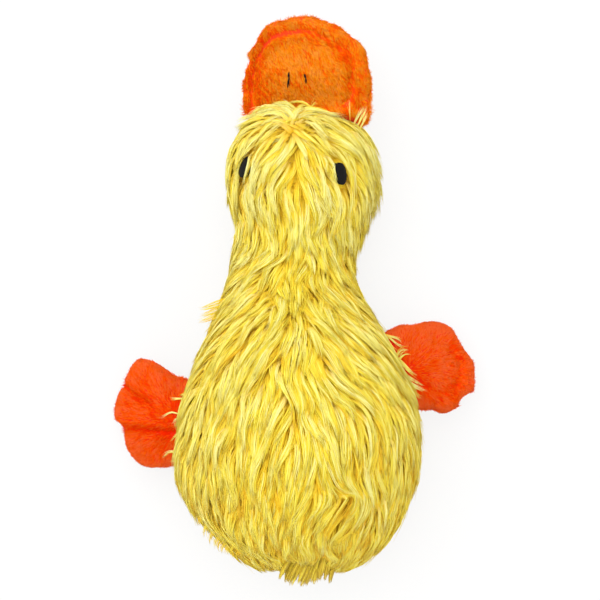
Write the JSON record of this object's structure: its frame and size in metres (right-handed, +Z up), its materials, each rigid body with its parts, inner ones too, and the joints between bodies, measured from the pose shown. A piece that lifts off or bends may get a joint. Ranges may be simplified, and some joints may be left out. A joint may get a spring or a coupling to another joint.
{
  "type": "plush duck",
  "caption": "Shaggy plush duck lying on its belly, with a padded bill, floppy webbed feet, embroidered eyes and a soft filled body.",
  "frame": {"origin": "bottom centre of the whole toy's box, on the surface that it lies on", "axes": "+Y from the tail to the bill, +X to the duck's right, +Z up through the back"},
  "size_m": [0.2084, 0.3298, 0.112],
  "materials": {
    "long_fur": "matte",
    "tail_fur": "matte",
    "bill_plush": "matte",
    "foot_plush": "matte",
    "black_thread": "satin",
    "filling": "matte",
    "squeaker_plastic": "satin"
  },
  "bodies": {
    "body": {"back_fur_panel": "long_fur", "belly_fur_panel": "long_fur", "body_filling": "filling", "squeaker_bulb": "squeaker_plastic", "squeaker_reed": "squeaker_plastic", "tail_tuft": "tail_fur"},
    "head": {"head_fur_left": "long_fur", "head_fur_right": "long_fur", "head_filling": "filling", "eye_left": "black_thread", "eye_right": "black_thread"},
    "bill": {"bill_upper_panel": "bill_plush", "bill_lower_panel": "bill_plush", "bill_wadding": "filling", "nostril_left": "black_thread", "nostril_right": "black_thread"},
    "foot_left": {"foot_left_upper": "foot_plush", "foot_left_sole": "foot_plush", "foot_left_wadding": "filling"},
    "foot_right": {"foot_right_upper": "foot_plush", "foot_right_sole": "foot_plush", "foot_right_wadding": "filling"}
  },
  "joints": [
    {"name": "head_nod", "type": "hinge", "parent": "body", "child": "head", "pos_m": [-0.00183, 0.00158, 0.0335], "axis": [0.9968, -0.0802, 0], "range_deg": [0, 35], "stiffness_Nm_per_rad": 0.02},
    {"name": "bill_flap", "type": "hinge", "parent": "head", "child": "bill", "pos_m": [0.00605, 0.10799, 0.03737], "axis": [0.9849, 0.0082, 0.173], "range_deg": [-25, 30], "stiffness_Nm_per_rad": 0.05, "springref_deg": 1.15},
    {"name": "foot_left_lift", "type": "hinge", "parent": "body", "child": "foot_left", "pos_m": [-0.06495, -0.07093, 0.032], "axis": [0.1253, 0.9921, 0], "range_deg": [0, 45], "stiffness_Nm_per_rad": 0.01},
    {"name": "foot_right_lift", "type": "hinge", "parent": "body", "child": "foot_right", "pos_m": [0.06168, -0.04088, 0.032], "axis": [0.3584, -0.9336, 0], "range_deg": [0, 45], "stiffness_Nm_per_rad": 0.01}
  ]
}
